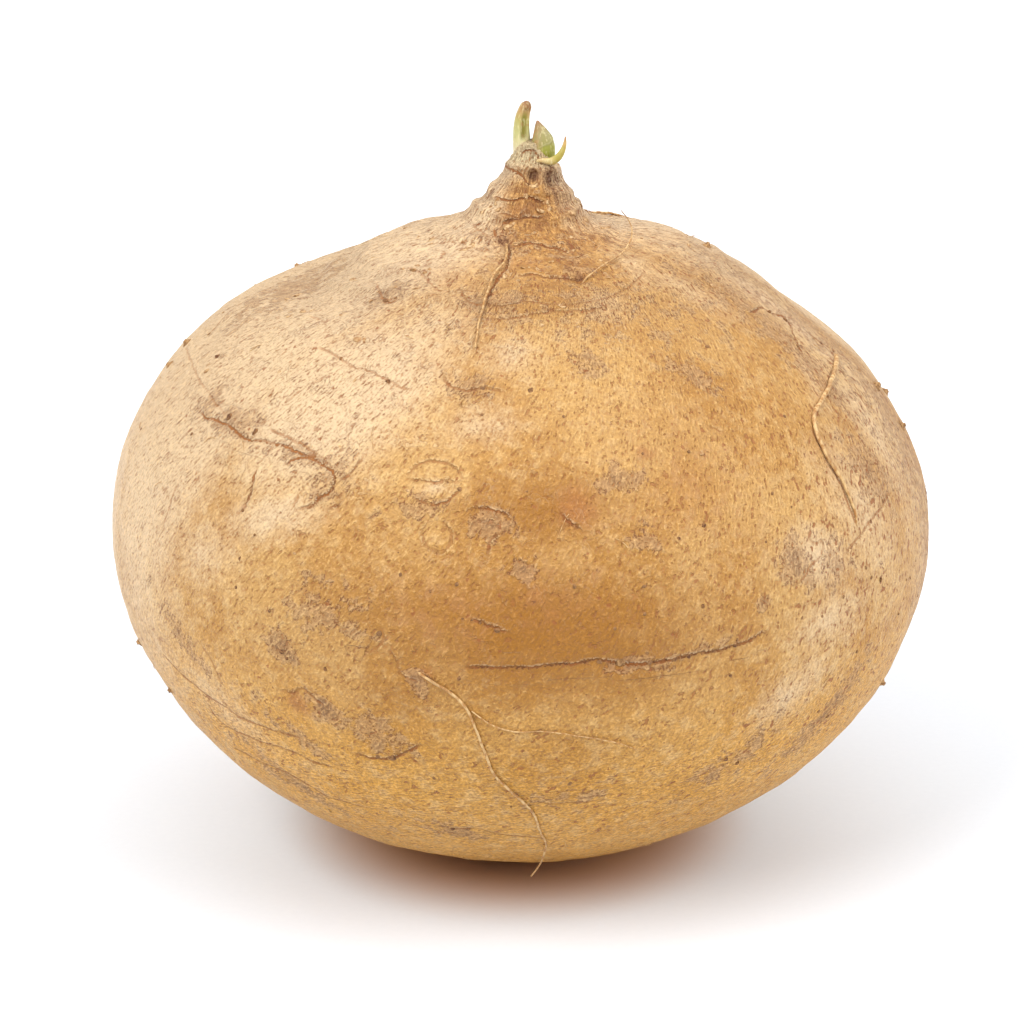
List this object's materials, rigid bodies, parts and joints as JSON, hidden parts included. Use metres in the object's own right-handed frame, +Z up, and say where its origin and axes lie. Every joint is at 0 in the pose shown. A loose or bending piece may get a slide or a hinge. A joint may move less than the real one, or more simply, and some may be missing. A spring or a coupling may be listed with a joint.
{
  "type": "jicama root",
  "caption": "Whole jicama root: a swollen, flattened round tuber with papery tan skin, a short ringed neck with green shoots, thin rootlets and a small flat spot to rest on.",
  "frame": {"origin": "on the ground, under the centre of the whole root", "axes": "+Z up through the neck, -Y towards the face with the long belly rootlet, +X along the widest girth, to that face's right as it is looked at"},
  "size_m": [0.139, 0.135, 0.1269],
  "materials": {
    "skin": "dry papery tan skin with a slight sheen, fine fibres, pores, thin brown cracks and grey-brown scurf",
    "curled_shoot": "pale grey-green living shoot, satin, with an olive stripe and a dried brown tip",
    "green_bud": "grey-green living bud, satin, olive below its fold",
    "hooked_shoot": "yellow-green living shoot, satin, with a tan tip"
  },
  "bodies": {
    "root": {"tuber": "skin", "curled_shoot": "curled_shoot", "green_bud": "green_bud", "hooked_shoot": "hooked_shoot"}
  },
  "joints": []
}
